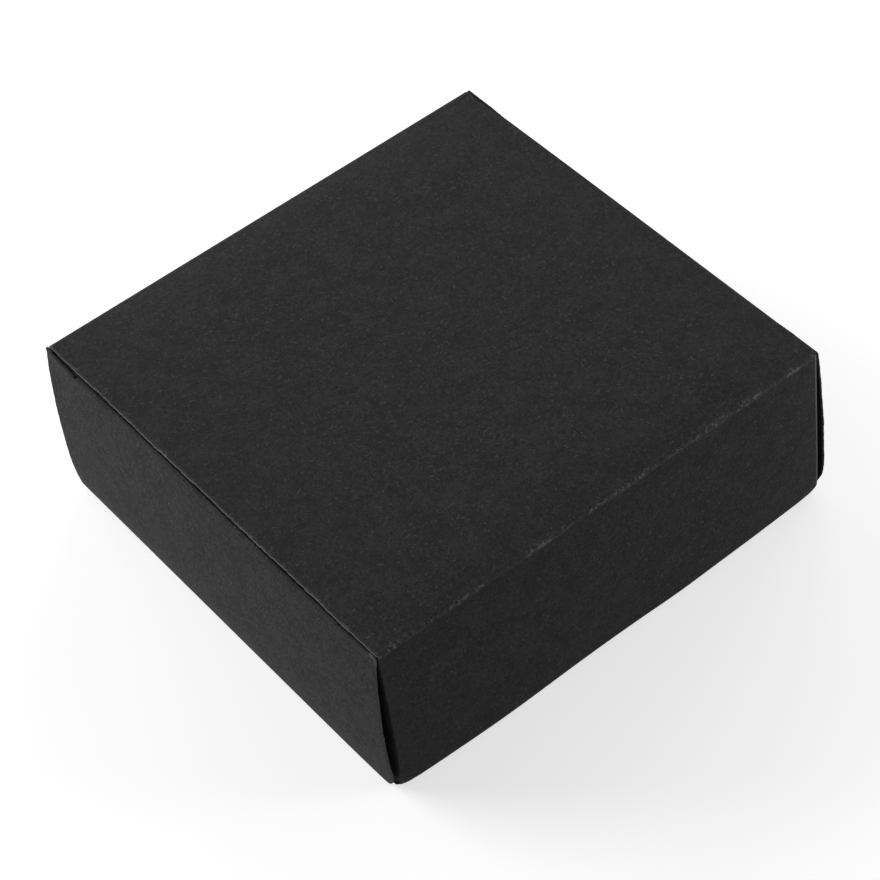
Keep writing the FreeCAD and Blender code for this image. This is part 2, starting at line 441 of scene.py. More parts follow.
def waist(x, y, z):
    """The push along X at the front wall's left end, shared by the dust flap folded from it."""
    inside = (x < 0) & (x > -HALF_LENGTH - WAIST_OUTSIDE)
    height = np.clip(z / TUBE_HEIGHT, 0, 1)
    size = WAIST * np.sin(math.pi * height) ** WAIST_POWER
    decay = -(x + HALF_LENGTH) / WAIST_LENGTH - (y + HALF_WIDTH) / WAIST_DEPTH
    return inside * size * np.exp(decay)


def handled(place):
    """The same sheet with what handling did to it."""

    def handled_place(u, v):
        points = place(u, v)
        x, y, z = points.T
        dent = corner_dent(x, y, z)
        push = [waist(x, y, z), dent + foot_swell(x, y, z), dent]
        return points + np.stack(push, axis=1)

    return handled_place


# The glued tube

TOP_CROWN = 0.33
TOP_CROWN_REACH = 5.0
TOP_SHOULDER = 0.15
TOP_SHOULDER_REACH = 2.5
TOP_END_REACH = 7.0
WALL_CROWN = 0.25
WALL_CROWN_REACH = 4.0
BOTTOM_END_CELL = 0.8

# The rubbed folds: how far below a fold its rub is centred; how even the painted highlight
# along the front wall's right end fold is, and how much thinner it is there; and how far off the
# wall's left end (a faint painted highlight) and the top panel's left edge (worn fibre and a
# painted highlight) count as, which makes them fainter
RUB_BELOW = 0.12
END_FOLD_HIGHLIGHT = 0.9
THIN_END_HIGHLIGHT = 1.8
# A faint painted highlight at the front wall's left end fold
FAINT_LEFT_HIGHLIGHT = 0.4
TOP_EDGE_WEAR_AND_HIGHLIGHT = 0.1


def tube_place(span, first, last, turn, y, z, bulge, end_fold=0.0):
    """place() for a panel along X that is turned about X and brought to y and z."""
    c, s = math.cos(math.radians(turn)), math.sin(math.radians(turn))
    length = panel_length(span, first, last)
    lengthwise = panel_length(2 * HALF_LENGTH, end_fold, end_fold)

    def place(u, v):
        across, up, lean = folded(v, span, first, last)
        if end_fold:
            x, sink, _ = folded(u, 2 * HALF_LENGTH, end_fold, end_fold)
            x = x - HALF_LENGTH
            sink = sink + HALF_BOARD
        else:
            x, sink = u, 0.0
        raised = sink + bulge(u, v, length, lengthwise)
        across = across + raised * np.sin(lean)
        up = up + raised * np.cos(lean)
        return np.stack([x, y + across * c - up * s, z + across * s + up * c], axis=1)

    return place, length, lengthwise


def top_bulge(u, v, length, lengthwise):
    folds = swell(v, TOP_CROWN_REACH) * swell(length - v, TOP_CROWN_REACH)
    shoulders = swell(v, TOP_SHOULDER_REACH) * swell(length - v, TOP_SHOULDER_REACH)
    ends = swell(HALF_LENGTH - u, TOP_END_REACH) * swell(HALF_LENGTH + u, TOP_END_REACH)
    return (TOP_CROWN * folds + TOP_SHOULDER * shoulders) * ends


def wall_bulge(u, v, length, lengthwise):
    folds = swell(v, WALL_CROWN_REACH) * swell(length - v, WALL_CROWN_REACH)
    ends = swell(u, WALL_CROWN_REACH) * swell(lengthwise - u, WALL_CROWN_REACH)
    return WALL_CROWN * folds * ends


def no_bulge(u, v, length, lengthwise):
    return np.zeros_like(u)


def top_panel():
    place, length, _ = tube_place(
        2 * HALF_WIDTH, FRONT_FOLD_RADIUS, TOP_FOLD_RADIUS, 0, -HALF_WIDTH, TUBE_HEIGHT, top_bulge
    )
    inner = HALF_LENGTH - BESIDE_CUT[-1]
    columns = [-HALF_LENGTH + d for d in BESIDE_CUT]
    columns += lines_between(-inner, inner, CELL)
    columns += [HALF_LENGTH - d for d in reversed(BESIDE_CUT)]
    return board(
        "top_panel_board",
        finely(strip(-HALF_LENGTH, HALF_LENGTH, 0, length)),
        place,
        columns,
        arc_rows(length, FRONT_FOLD_RADIUS, TOP_FOLD_RADIUS),
        lambda u, v: (v < ON_LINE) | (v > length - ON_LINE),
        # The top panel's rub: wear along the front fold, and worn fibre with a painted highlight
        # along the left cut edge
        lambda u, v: (np.minimum(v + RUB_BELOW, u + HALF_LENGTH + TOP_EDGE_WEAR_AND_HIGHLIGHT), 0.0),
        # Frayed fibre with a painted highlight on the top panel's cut edges
        lambda u, v: FRAYED_AND_HIGHLIGHT_GREY,
    )


def rub_and_highlight_wall(length, lengthwise):
    """The front wall is rubbed in patches along its top fold, with a painted highlight along its
    right end fold and a faint one at its left end.
    """

    def rub_and_highlight(u, v):
        from_top = length - v
        # Painted highlights: an even, thin pale line at the right end fold and a faint one at the
        # left end
        from_end = np.minimum(u + FAINT_LEFT_HIGHLIGHT, (lengthwise - u) * THIN_END_HIGHLIGHT)
        highlight_evenness = np.where((from_end < from_top) & (u > lengthwise / 2), END_FOLD_HIGHLIGHT, 0.0)
        return np.minimum(from_top - RUB_BELOW, from_end), highlight_evenness

    return rub_and_highlight


def side_wall(name, span, first, last, turn, y, z):
    """A side wall between its two folds, or with a cut edge where the last radius is 0."""
    place, length, lengthwise = tube_place(
        span, first, last, turn, y, z, wall_bulge, END_FOLD_RADIUS
    )

    def joined(u, v):
        ends = (u < ON_LINE) | (u > lengthwise - ON_LINE)
        return ends | (v < ON_LINE) | ((v > length - ON_LINE) & (last > 0))

    return board(
        name,
        finely(strip(0, lengthwise, 0, length)),
        place,
        arc_rows(lengthwise, END_FOLD_RADIUS, END_FOLD_RADIUS),
        arc_rows(length, first, last),
        joined,
        rub_and_highlight_wall(length, lengthwise) if last else unrubbed,
    )


def front_wall():
    return side_wall(
        "front_wall_board", TUBE_HEIGHT, BOTTOM_FOLD_RADIUS, FRONT_FOLD_RADIUS,
        90, -HALF_WIDTH, 0,
    )


def back_wall():
    return side_wall(
        "back_wall_board", TUBE_HEIGHT - BACK_EDGE_LIFT, TOP_FOLD_RADIUS, 0.0,
        -90, HALF_WIDTH, TUBE_HEIGHT,
    )


def bottom_panel():
    span = SEAM_FACE + HALF_WIDTH
    place, length, _ = tube_place(
        span, SEAM_FOLD_RADIUS, BOTTOM_FOLD_RADIUS, 180, SEAM_FACE, 0, no_bulge
    )
    reach = HALF_LENGTH + BOTTOM_REACH
    front = length - half_arc(BOTTOM_FOLD_RADIUS) - CLOSURE_SIDE_RELIEF
    left_front = front - (CLOSURE_FOOT_CORNER["front"] - BOTTOM_FOLD_RADIUS)
    back = half_arc(SEAM_FOLD_RADIUS) + CLOSURE_SIDE_RELIEF
    corners = [
        (-HALF_LENGTH, 0), (HALF_LENGTH, 0), (HALF_LENGTH, back), (reach, back),
        (reach, front), (HALF_LENGTH, front), (HALF_LENGTH, length), (-HALF_LENGTH, length),
        (-HALF_LENGTH, left_front), (-reach, left_front), (-reach, back), (-HALF_LENGTH, back),
    ]
    inner = HALF_LENGTH - BOTTOM_END_CELL
    return board(
        "bottom_panel_board",
        finely([Vector(p) for p in corners]),
        place,
        [-inner] + lines_between(-inner, inner, CELL) + [inner],
        arc_rows(length, SEAM_FOLD_RADIUS, BOTTOM_FOLD_RADIUS),
        lambda u, v: (v < ON_LINE) | (v > length - ON_LINE) | (np.abs(u) > reach - ON_LINE),
    )


# End closures

CLOSURE_SIDE_RELIEF = 0.3
CLOSURE_RISE = TUCK_CREASE_HEIGHT - HINGE_HEIGHT
CLOSURE_FOOT_CORNER = {"front": 5.0, "back": 1.8}
CLOSURE_HEAD_CORNER = 0.25
HALF_CLOSURE = HALF_WIDTH - CLOSURE_SIDE_RELIEF

# How far a closure bows out at its two sides, and the bow's share at each share of its height
BOW = {"left": {"front": 0.75, "back": 0.95}, "right": {"front": 0.8, "back": 0.5}}
BOW_CURVE = ((0.0, 0.0), (0.07, 0.46), (0.33, 1.0), (0.62, 0.84), (0.88, 0.34), (1.0, 0.0))

# How much further out than its crease a closure's head stands, from its front to its back
HEAD_LEAN = {
    "left": ((0.0, -0.26), (0.12, -0.16), (0.5, -0.1), (0.8, 0.0), (0.91, 0.13), (1.0, 0.05)),
    "right": ((0.0, -0.05), (0.3, 0.0), (0.7, 0.08), (1.0, 0.02)),
}
HEAD_RAISE = 0.3
FACE_LENGTH = CLOSURE_RISE + HEAD_RAISE

# The left closure's back head corner leans in against the top panel's corner
TIP_LEAN = 0.3
TIP_LENGTH = 2.4
TIP_POWER = 12

# The foot is a bend up to FOOT_JOIN of the face's height, and the head starts at HEAD_JOIN
FOOT_JOIN = 0.075
FOOT_LENGTH = 2.6
FOOT_KNEE_UP = 0.65
FOOT_KNEE_OUT = 0.95
HEAD_JOIN = 0.985
FACE_END = FOOT_LENGTH + FACE_LENGTH * (HEAD_JOIN - FOOT_JOIN)
SLOPE_STEP = 0.002

# The left closure's front foot corner is bent in and up a little
CURL_IN = 0.3
CURL_UP = 0.15
CURL_LENGTH = 4.0
CURL_HEIGHT = 2.0

# The tuck flap, which droops enough for its end to swing in under the top panel
TUCK_LENGTH = 12.0
TUCK_DROOP_MARGIN = math.radians(2.0)
TUCK_DROOP = math.asin(TUCK_LENGTH / (2 * CLOSURE_RISE)) + TUCK_DROOP_MARGIN
TUCK_SIDE_CLEARANCE = 2.0
TUCK_ROOT = HALF_WIDTH - BOARD - TUCK_SIDE_CLEARANCE
TUCK_SIDE_TAPER = math.radians(4.0)
TUCK_CORNER_RADIUS = 7.0
LOCK_SLIT_LENGTH = 6.0
LOCK_SLIT_WIDTH = 0.25
TUCK_NECK = TUCK_ROOT - LOCK_SLIT_LENGTH

# The flap dips as it goes in under the top panel, so that it turns up clear of it
TUCK_DIP = 0.16
TUCK_DIP_START = 0.25
TUCK_DIP_LENGTH = 0.3

HEAD_TURN = math.pi / 2 + TUCK_DROOP
HEAD_ARC = (HEAD_FOLD_RADIUS - HALF_BOARD) * HEAD_TURN
CLOSURE_LENGTH = FACE_END + HEAD_ARC / 2

# The shoulders that stand up beside the tuck flap, and how far they rise at each corner
SHOULDER_GAP = 0.3
SHOULDER_START = TUCK_NECK + SHOULDER_GAP
UPRIGHT_FROM = TUCK_NECK + SHOULDER_GAP / 2
SHOULDER_RISE = {"left": {"front": 0.35, "back": 0.5}, "right": {"front": 0.0, "back": 0.34}}
SHOULDER_INNER_RISE = {"left": 0.12, "right": 0.0}

# A closure's side is spread a little at its head, where it was pressed against the tube's corner
SPREAD = {"left": {"front": 0.22, "back": 0.22}, "right": {"front": 0.0, "back": 0.22}}
SPREAD_LENGTH = 2.2

# How far down and across the paler parts of a closure's cut edge reach: painted light on the
# shoulders, a painted highlight down the side, fray and a painted highlight at the corner
SHOULDER_EDGE = 0.5
SIDE_EDGE = 0.5
FRAYED_HIGHLIGHT_CORNER = (1.2, 1.4)

FOOT_STEPS = 10
FACE_CELL = 1.2
HEAD_STEPS = 4
FLAP_START = 0.2


def spline(knots, values):
    """A natural cubic spline through the knots, as a function that goes on past their ends."""
    knots, values = np.array(knots, float), np.array(values, float)
    gap = np.diff(knots)
    rise = np.diff(values) / gap
    count = len(knots)
    system, right = np.eye(count), np.zeros(count)
    for i in range(1, count - 1):
        system[i, i - 1 : i + 2] = gap[i - 1], 2 * (gap[i - 1] + gap[i]), gap[i]
        right[i] = 6 * (rise[i] - rise[i - 1])
    bend = np.linalg.solve(system, right)

    def value(t):
        i = np.clip(np.searchsorted(knots, t) - 1, 0, count - 2)
        a, b, h = t - knots[i], knots[i + 1] - t, gap[i]
        curved = (bend[i] * b**3 + bend[i + 1] * a**3) / (6 * h)
        low, high = values[i] / h - bend[i] * h / 6, values[i + 1] / h - bend[i + 1] * h / 6
        return curved + (low * b + high * a)

    return value


bow_share = spline(*zip(*BOW_CURVE))
head_lean = {end: spline(*zip(*knots)) for end, knots in HEAD_LEAN.items()}


def bezier(t, a, b, c, d):
    return (1 - t) ** 3 * a + 3 * t * (1 - t) ** 2 * b + 3 * t * t * (1 - t) * c + t**3 * d


def closure_face(end, y, h):
    """Out and up of a closure's middle, at share h of its height and at y across it."""
    share = (y + HALF_CLOSURE) / (2 * HALF_CLOSURE)
    bow = BOW[end]["front"] * (1 - share) + BOW[end]["back"] * share
    out = HINGE_STANDOFF + h * (TUCK_CREASE_STANDOFF - HINGE_STANDOFF) + bow * bow_share(h)
    out = out + head_lean[end](share) * h**3
    if end == "left":
        tip = np.clip(1 - (HALF_CLOSURE - y) / TIP_LENGTH, 0, 1)
        out = out - TIP_LEAN * smooth_step(tip) * h**TIP_POWER
    return HALF_LENGTH + out, HINGE_HEIGHT + h * FACE_LENGTH


def closure_foot(end, y, v):
    """Out and up round the one smooth bend from the bottom panel to the face."""
    top_out, top_up = closure_face(end, y, FOOT_JOIN)
    next_out, next_up = closure_face(end, y, FOOT_JOIN + SLOPE_STEP)
    slope = (next_out - top_out) / (next_up - top_up)
    start_out, start_up = HALF_LENGTH + BOTTOM_REACH, HINGE_HEIGHT
    knee_up = FOOT_KNEE_UP * (top_up - start_up)
    foot_of_face = top_out - slope * knee_up
    knee_out = FOOT_KNEE_OUT * (foot_of_face - start_out)
    t = np.clip(v / FOOT_LENGTH, None, 1.0)
    out = bezier(t, start_out, start_out + knee_out, foot_of_face, top_out)
    up = bezier(t, start_up, start_up, top_up - knee_up, top_up)
    return out, up


def head_fold(end, y, travel):
    """Out and up round the fold from a closure's face to its tuck flap, then along the flap."""
    base_out, base_up = closure_face(end, y, HEAD_JOIN)
    last_out, last_up = closure_face(end, y, HEAD_JOIN - SLOPE_STEP)
    lean = np.arctan2(base_out - last_out, base_up - last_up)
    radius = HEAD_FOLD_RADIUS - HALF_BOARD
    turn = HEAD_TURN + lean
    on = np.clip(travel / radius, 0, turn) - lean
    out = base_out - radius * np.cos(lean) + radius * np.cos(on)
    up = base_up + radius * np.sin(lean) + radius * np.sin(on)
    beyond = np.maximum(travel - radius * turn, 0)
    out = out - beyond * math.cos(TUCK_DROOP)
    up = up - beyond * math.sin(TUCK_DROOP)
    dip = np.clip((HALF_LENGTH + TUCK_DIP_START - out) / TUCK_DIP_LENGTH, 0, 1)
    return out, up - TUCK_DIP * smooth_step(dip)


def closure_head(end, y, travel):
    """Out and up of a closure's head: the fold, and the upright shoulders at its two ends."""
    fold_out, fold_up = head_fold(end, y, travel)
    upright_out, upright_up = closure_face(end, y, np.full_like(travel, HEAD_JOIN))
    upright = np.abs(y) > UPRIGHT_FROM
    return np.where(upright, upright_out, fold_out), np.where(upright, upright_up + travel, fold_up)


def closure_section(end, y, v):
    """Out and up of a closure's middle, v along it from where it leaves the bottom panel."""
    h = FOOT_JOIN + (v - FOOT_LENGTH) / FACE_LENGTH
    out, up = closure_face(end, y, np.clip(h, FOOT_JOIN, HEAD_JOIN))
    foot_out, foot_up = closure_foot(end, y, v)
    head_out, head_up = closure_head(end, y, v - FACE_END)
    on_foot, on_head = v < FOOT_LENGTH, v > FACE_END
    out = np.where(on_head, head_out, np.where(on_foot, foot_out, out))
    up = np.where(on_head, head_up, np.where(on_foot, foot_up, up))
    if end == "left":
        t = np.maximum(v, 0) / CURL_HEIGHT
        curl = t * np.exp(1 - t) * np.exp(-(y + HALF_CLOSURE) / CURL_LENGTH)
        out, up = out - CURL_IN * curl, up + CURL_UP * curl
    return out, up


def left_closure_edge(u, v):
    """The left closure's edge has a painted highlight down its front side, and is palest at its
    front head corner, which is frayed and has a painted highlight.
    """
    foot = CLOSURE_FOOT_CORNER["front"]
    across, down = FRAYED_HIGHLIGHT_CORNER
    side = u > HALF_CLOSURE - np.where(v < foot, foot, SIDE_EDGE)
    level = np.where(side, SIDE_HIGHLIGHT_GREY, CUT_GREY)
    level = np.where(v > CLOSURE_LENGTH - SHOULDER_EDGE, SHOULDER_PAINTED_LIGHT_GREY, level)
    # The front head corner: frayed fibre with a painted highlight
    corner = (v > CLOSURE_LENGTH - down) & (u > HALF_CLOSURE - across)
    return np.where(corner, FRAYED_AND_HIGHLIGHT_GREY, level)


def right_closure_edge(u, v):
    # The shoulders' cut edge gets painted light against the top panel's shade; the rest is the plain
    # dark core
    return np.where(v > CLOSURE_LENGTH - SHOULDER_EDGE, SHOULDER_PAINTED_LIGHT_GREY, CUT_GREY)


def closure_outline(end):
    w, foot = HALF_CLOSURE, CLOSURE_FOOT_CORNER
    inner = CLOSURE_LENGTH + SHOULDER_INNER_RISE[end]
    # u runs from back to front at the left end, and from front to back at the right end
    first, last = ("back", "front") if end == "left" else ("front", "back")
    rise, spread = SHOULDER_RISE[end], SPREAD[end]
    spread_start = CLOSURE_LENGTH - SPREAD_LENGTH
    corners = [
        (-w, 0, foot[first]), (w, 0, foot[last]), (w, spread_start, 0),
        (w + spread[last], CLOSURE_LENGTH + rise[last], CLOSURE_HEAD_CORNER),
        (SHOULDER_START, inner, 0), (SHOULDER_START, CLOSURE_LENGTH, 0),
        (-SHOULDER_START, CLOSURE_LENGTH, 0), (-SHOULDER_START, inner, 0),
        (-w - spread[first], CLOSURE_LENGTH + rise[first], CLOSURE_HEAD_CORNER),
        (-w, spread_start, 0),
    ]
    # Without a rise, a shoulder's two inner corners are one
    if not SHOULDER_INNER_RISE[end]:
        corners = [c for k, c in enumerate(corners) if k not in (4, 7)]
    return finely(rounded(corners))


def closure(end):
    side = SIDES[end]
    free = HALF_CLOSURE - BOTTOM_FOLD_RADIUS

    def place(u, v):
        out, up = closure_section(end, side * u, v)
        return np.stack([side * out, side * u, up], axis=1)

    def joined(u, v):
        foot = (v < ON_LINE) & (np.abs(u) < free)
        return foot | ((v > CLOSURE_LENGTH - ON_LINE) & (np.abs(u) < TUCK_NECK))

    head_start = CLOSURE_LENGTH - HEAD_ARC / 2
    rows = [FOOT_LENGTH * k / FOOT_STEPS for k in range(1, FOOT_STEPS + 1)]
    rows += lines_between(FOOT_LENGTH, head_start, FACE_CELL)
    rows += [CLOSURE_LENGTH - HEAD_ARC / 2 * k / HEAD_STEPS for k in range(1, HEAD_STEPS + 1)]
    piece = board(
        end + "_closure_board",
        closure_outline(end),
        place,
        lines_between(-HALF_CLOSURE, HALF_CLOSURE, CELL),
        rows,
        joined,
        edge_grey=left_closure_edge if end == "left" else right_closure_edge,
        skin="scuffed_board",
    )
    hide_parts(end + "_closure")
    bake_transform(piece)
    return piece


def tuck_flap(end):
    side = SIDES[end]
    first = HEAD_ARC / 2
    slit = first + LOCK_SLIT_WIDTH
    last = TUCK_LENGTH
    tip = TUCK_ROOT - (last - slit) * math.tan(TUCK_SIDE_TAPER)

    def place(u, v):
        out, up = head_fold(end, side * u, v)
        return np.stack([side * out, side * u, up], axis=1)

    corners = [
        (-TUCK_NECK, first, 0), (TUCK_NECK, first, 0), (TUCK_NECK, slit, 0), (TUCK_ROOT, slit, 0),
        (tip, last, TUCK_CORNER_RADIUS), (-tip, last, TUCK_CORNER_RADIUS),
        (-TUCK_ROOT, slit, 0), (-TUCK_NECK, slit, 0),
    ]
    rows = [first + (HEAD_ARC - first) * k / HEAD_STEPS for k in range(1, HEAD_STEPS + 1)]
    rows += lines_between(HEAD_ARC + FLAP_START, last, CELL)
    piece = board(
        end + "_tuck_flap_board",
        finely(rounded(corners)),
        place,
        lines_between(-TUCK_ROOT, TUCK_ROOT, CELL),
        rows,
        lambda u, v: v < first + ON_LINE,
    )
    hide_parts(end + "_tuck_flap")
    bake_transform(piece)
    return piece


# Dust flaps

DUST_LENGTH = 24.0
DUST_EDGE_GAP = 0.3
DUST_FOOT = BOARD + DUST_EDGE_GAP
DUST_HEAD = TUBE_HEIGHT - BOARD - DUST_EDGE_GAP
DUST_SHOULDER = 0.5
DUST_NOTCH_CLEARANCE = 0.4
TUCK_END_HEIGHT = HINGE_HEIGHT + CLOSURE_RISE * math.cos(TUCK_DROOP) - HALF_BOARD
DUST_NOTCH = TUCK_END_HEIGHT - DUST_NOTCH_CLEARANCE
DUST_TAPER = math.radians(15.0)
DUST_FOOT_TAPER = math.radians(3.0)
DUST_CORNER_RADIUS = 3.5


def dust_outline(wall, past_crease):
    """The flap's corners, from its foot at the crease round its tip to its head."""
    low_fold = (BOTTOM_FOLD_RADIUS if wall == "front" else TOP_FOLD_RADIUS) - BOARD
    crease_head = DUST_HEAD - DUST_SHOULDER + CREASE_CLEARANCE
    notch_end = DUST_SHOULDER + DUST_HEAD - DUST_NOTCH
    tip_head = DUST_NOTCH - (DUST_LENGTH - notch_end) * math.tan(DUST_TAPER)
    tip_foot = DUST_FOOT + DUST_LENGTH * math.tan(DUST_FOOT_TAPER)
    return [
        (0, DUST_FOOT + low_fold, 0),
        (past_crease(CREASE_CLEARANCE), DUST_FOOT + low_fold, 0),
        (past_crease(CREASE_CLEARANCE + low_fold), DUST_FOOT, 0),
        (past_crease(DUST_LENGTH), tip_foot, DUST_CORNER_RADIUS),
        (past_crease(DUST_LENGTH), tip_head, DUST_CORNER_RADIUS),
        (past_crease(notch_end), DUST_NOTCH, 0),
        (past_crease(DUST_SHOULDER), DUST_HEAD, 0),
        (past_crease(CREASE_CLEARANCE), crease_head, 0),
        (0, crease_head, 0),
    ]


def dust_flap(end, wall):
    side, across = SIDES[end], WALLS[wall]
    arc = half_arc(END_FOLD_RADIUS)

    def past_crease(a):
        """Turns a distance from the wall's inner face into one from the middle of the crease."""
        return a + BOARD - END_FOLD_RADIUS + arc

    near = BESIDE_FOLD[:2]
    columns = [arc * k / ARC_STEPS for k in range(1, ARC_STEPS + 1)]
    columns += [arc + d for d in near]
    columns += lines_between(arc + near[-1], past_crease(DUST_LENGTH), CELL)
    corners = dust_outline(wall, past_crease)
    # Two of the four flaps run towards -u, so that their outside face stays along u cross v
    along = -1 if side * across > 0 else 1
    if along < 0:
        corners = [(-u, v, r) for u, v, r in reversed(corners)]
        columns = [-u for u in columns]

    def place(u, v):
        inward, sink, _ = folded(along * u, 2 * HALF_WIDTH, END_FOLD_RADIUS, 0.0)
        x = side * (HALF_LENGTH + sink)
        y = across * (HALF_WIDTH - inward)
        return np.stack([x, y, v], axis=1)

    piece = board(
        end + "_" + wall + "_dust_flap_board",
        finely(rounded(corners)),
        place,
        columns,
        lines_between(DUST_FOOT, DUST_HEAD, CELL),
        lambda u, v: np.abs(u) < ON_LINE,
    )
    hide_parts(end + "_" + wall + "_dust_flap")
    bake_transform(piece)
    return piece


# Materials

# The sockets of a Mix node that mixes colours
MIX_FIRST = 6
MIX_SECOND = 7
MIX_RESULT = 2

# The middle of a noise and most of its range
NOISE_MIDDLE = 0.5
NOISE_SPAN = (0.3, 0.7)

BOARD_GREY = 0.0115
MOTTLE_SHARES = (0.05, 1.95)
FINE = {"scale": 3600.0, "detail": 3.0, "roughness": 0.7}
PATCHES = {"scale": 1100.0, "detail": 3.0, "roughness": 0.6}
CLOUDS = {"scale": 220.0, "detail": 4.0}
FINE_SPAN = (0.25, 0.75)
FINE_MOTTLE = 1.4
PATCH_MOTTLE = 0.7
CLOUD_MOTTLE = 0.8
SCUFFED_CONTRAST = 1.5
BOARD_ROUGHNESS = (0.7, 0.78)
BOARD_SPECULAR = 0.15
BUMP_HEIGHT = 0.00005
FIBRE_RELIEF = 0.6
PATCH_RELIEF = 0.8

# Short fibres, some pale and some dark, and how sparse each kind is
FIBRE_GREY = 0.042
FIBRE_SPARSENESS = 0.66
PIT_GREY = 0.0005
PIT_SPARSENESS = 0.6
PIT_SHIFT = 0.3
FIBRE_SCALE = 1300.0
FIBRE_WIDTH = 0.08
FIBRE_DETAIL = 1.0
FIBRE_BREAK_SCALE = 1.7
FIBRE_BREAK_DETAIL = 0.0
FIBRE_BREAK_WIDTH = 0.07

# A rubbed fold: fine pale specks of wear in clusters, over a faint band of painted light that lifts
# the fold's shading; where even, the pale line is a painted highlight
WORN_AND_HIGHLIGHT_GREY = 0.12
FOLD_RUB = 0.0005
FOLD_WANDER = 0.00012
FOLD_PAINTED_LIGHT = 0.16
FOLD_PAINTED_LIGHT_REACH = 0.00055
FULL_WITHIN = 0.3
SWAY = {"scale": 160.0, "detail": 3.0}
SPECKS = {"scale": 2500.0, "detail": 2.0}
CLUSTERS = {"scale": 260.0, "detail": 2.0}
SPECK_SPAN = (0.48, 0.58)
CLUSTER_SPAN = (0.42, 0.6)
BETWEEN_CLUSTERS = 0.25

EDGE_FUZZ = {"scale": 5000.0, "detail": 3.0, "roughness": 0.7}
FUZZ_SPAN = (0.35, 0.7)
FUZZ_SHARES = (0.6, 1.5)
EDGE_ROUGHNESS = 0.9
FUZZ_HEIGHT = 0.0001

GLUE_BLOTCH = {"scale": 700.0, "detail": 4.0}
BLOTCH_SPAN = (0.35, 0.65)
GLUE_DARK = (0.45, 0.4, 0.3, 1)
GLUE_LIGHT = (0.62, 0.58, 0.48, 1)
GLUE_ROUGHNESS = (0.35, 0.6)


def grey(level):
    return (level, level, level, 1.0)


class Graph:
    """A node tree, with one short method for each kind of node that is used here."""

    def __init__(self, tree):
        self.nodes, self.links = tree.nodes, tree.links

    def feed(self, socket, value):
        """Links an output to the socket, or gives it a constant."""
        if isinstance(value, bpy.types.NodeSocket):
            self.links.new(value, socket)
        else:
            socket.default_value = value

    def places(self):
        return self.nodes.new("ShaderNodeTexCoord").outputs["Object"]

    def shifted(self, where, shift):
        node = self.nodes.new("ShaderNodeMapping")
        self.feed(node.inputs["Location"], (shift, shift, shift))
        self.feed(node.inputs["Vector"], where)
        return node.outputs["Vector"]

    def attribute(self, name):
        node = self.nodes.new("ShaderNodeAttribute")
        node.attribute_name = name
        return node.outputs["Fac"]

    def noise(self, where, scale, detail, roughness=0.55):
        node = self.nodes.new("ShaderNodeTexNoise")
        self.feed(node.inputs["Scale"], scale)
        self.feed(node.inputs["Detail"], detail)
        self.feed(node.inputs["Roughness"], roughness)
        self.feed(node.inputs["Vector"], where)
        return node.outputs["Fac"]

    def remap(self, value, low, high, to_low, to_high):
        node = self.nodes.new("ShaderNodeMapRange")
        keys = ("From Min", "From Max", "To Min", "To Max")
        for key, number in zip(keys, (low, high, to_low, to_high)):
            self.feed(node.inputs[key], number)
        self.feed(node.inputs["Value"], value)
        return node.outputs["Result"]

    def maths(self, operation, first, second):
        node = self.nodes.new("ShaderNodeMath")
        node.operation = operation
        self.feed(node.inputs[0], first)
        self.feed(node.inputs[1], second)
        return node.outputs[0]

    def total(self, *values):
        result = values[0]
        for value in values[1:]:
            result = self.maths("ADD", result, value)
        return result

    def greatest(self, *values):
        result = values[0]
        for value in values[1:]:
            result = self.maths("MAXIMUM", result, value)
        return result

    def mixed(self, share, first, second):
        node = self.nodes.new("ShaderNodeMix")
        node.data_type = "RGBA"
        self.feed(node.inputs["Factor"], share)
        self.feed(node.inputs[MIX_FIRST], first)
        self.feed(node.inputs[MIX_SECOND], second)
        return node.outputs[MIX_RESULT]

    def bumped(self, height, distance):
        node = self.nodes.new("ShaderNodeBump")
        self.feed(node.inputs["Strength"], 1.0)
        self.feed(node.inputs["Distance"], distance)
        self.feed(node.inputs["Height"], height)
        return node.outputs["Normal"]

    def seen_directly(self):
        """1 on rays from the camera, on mirrored rays and on rays through glass, and 0 on others."""
        rays = self.nodes.new("ShaderNodeLightPath").outputs
        return self.greatest(
            rays["Is Camera Ray"], rays["Is Glossy Ray"], rays["Is Transmission Ray"]
        )


def new_material(name):
    material = bpy.data.materials.new(name)
    material.use_nodes = True
    return material, Graph(material.node_tree), material.node_tree.nodes["Principled BSDF"]


def fibres(graph, where, shift, sparseness):
    """Sparse short curved fibres: 1 on a fibre and 0 elsewhere."""
    place = graph.shifted(where, shift)
    off = graph.maths("SUBTRACT", graph.noise(place, FIBRE_SCALE, FIBRE_DETAIL), NOISE_MIDDLE)
    off = graph.maths("ABSOLUTE", off, 0.0)
    line = graph.remap(off, FIBRE_WIDTH, FIBRE_WIDTH * FULL_WITHIN, 0, 1)
    breaks = graph.noise(place, FIBRE_SCALE * FIBRE_BREAK_SCALE, FIBRE_BREAK_DETAIL)
    piece = graph.remap(breaks, sparseness, sparseness + FIBRE_BREAK_WIDTH, 0, 1)
    return graph.maths("MULTIPLY", line, piece)


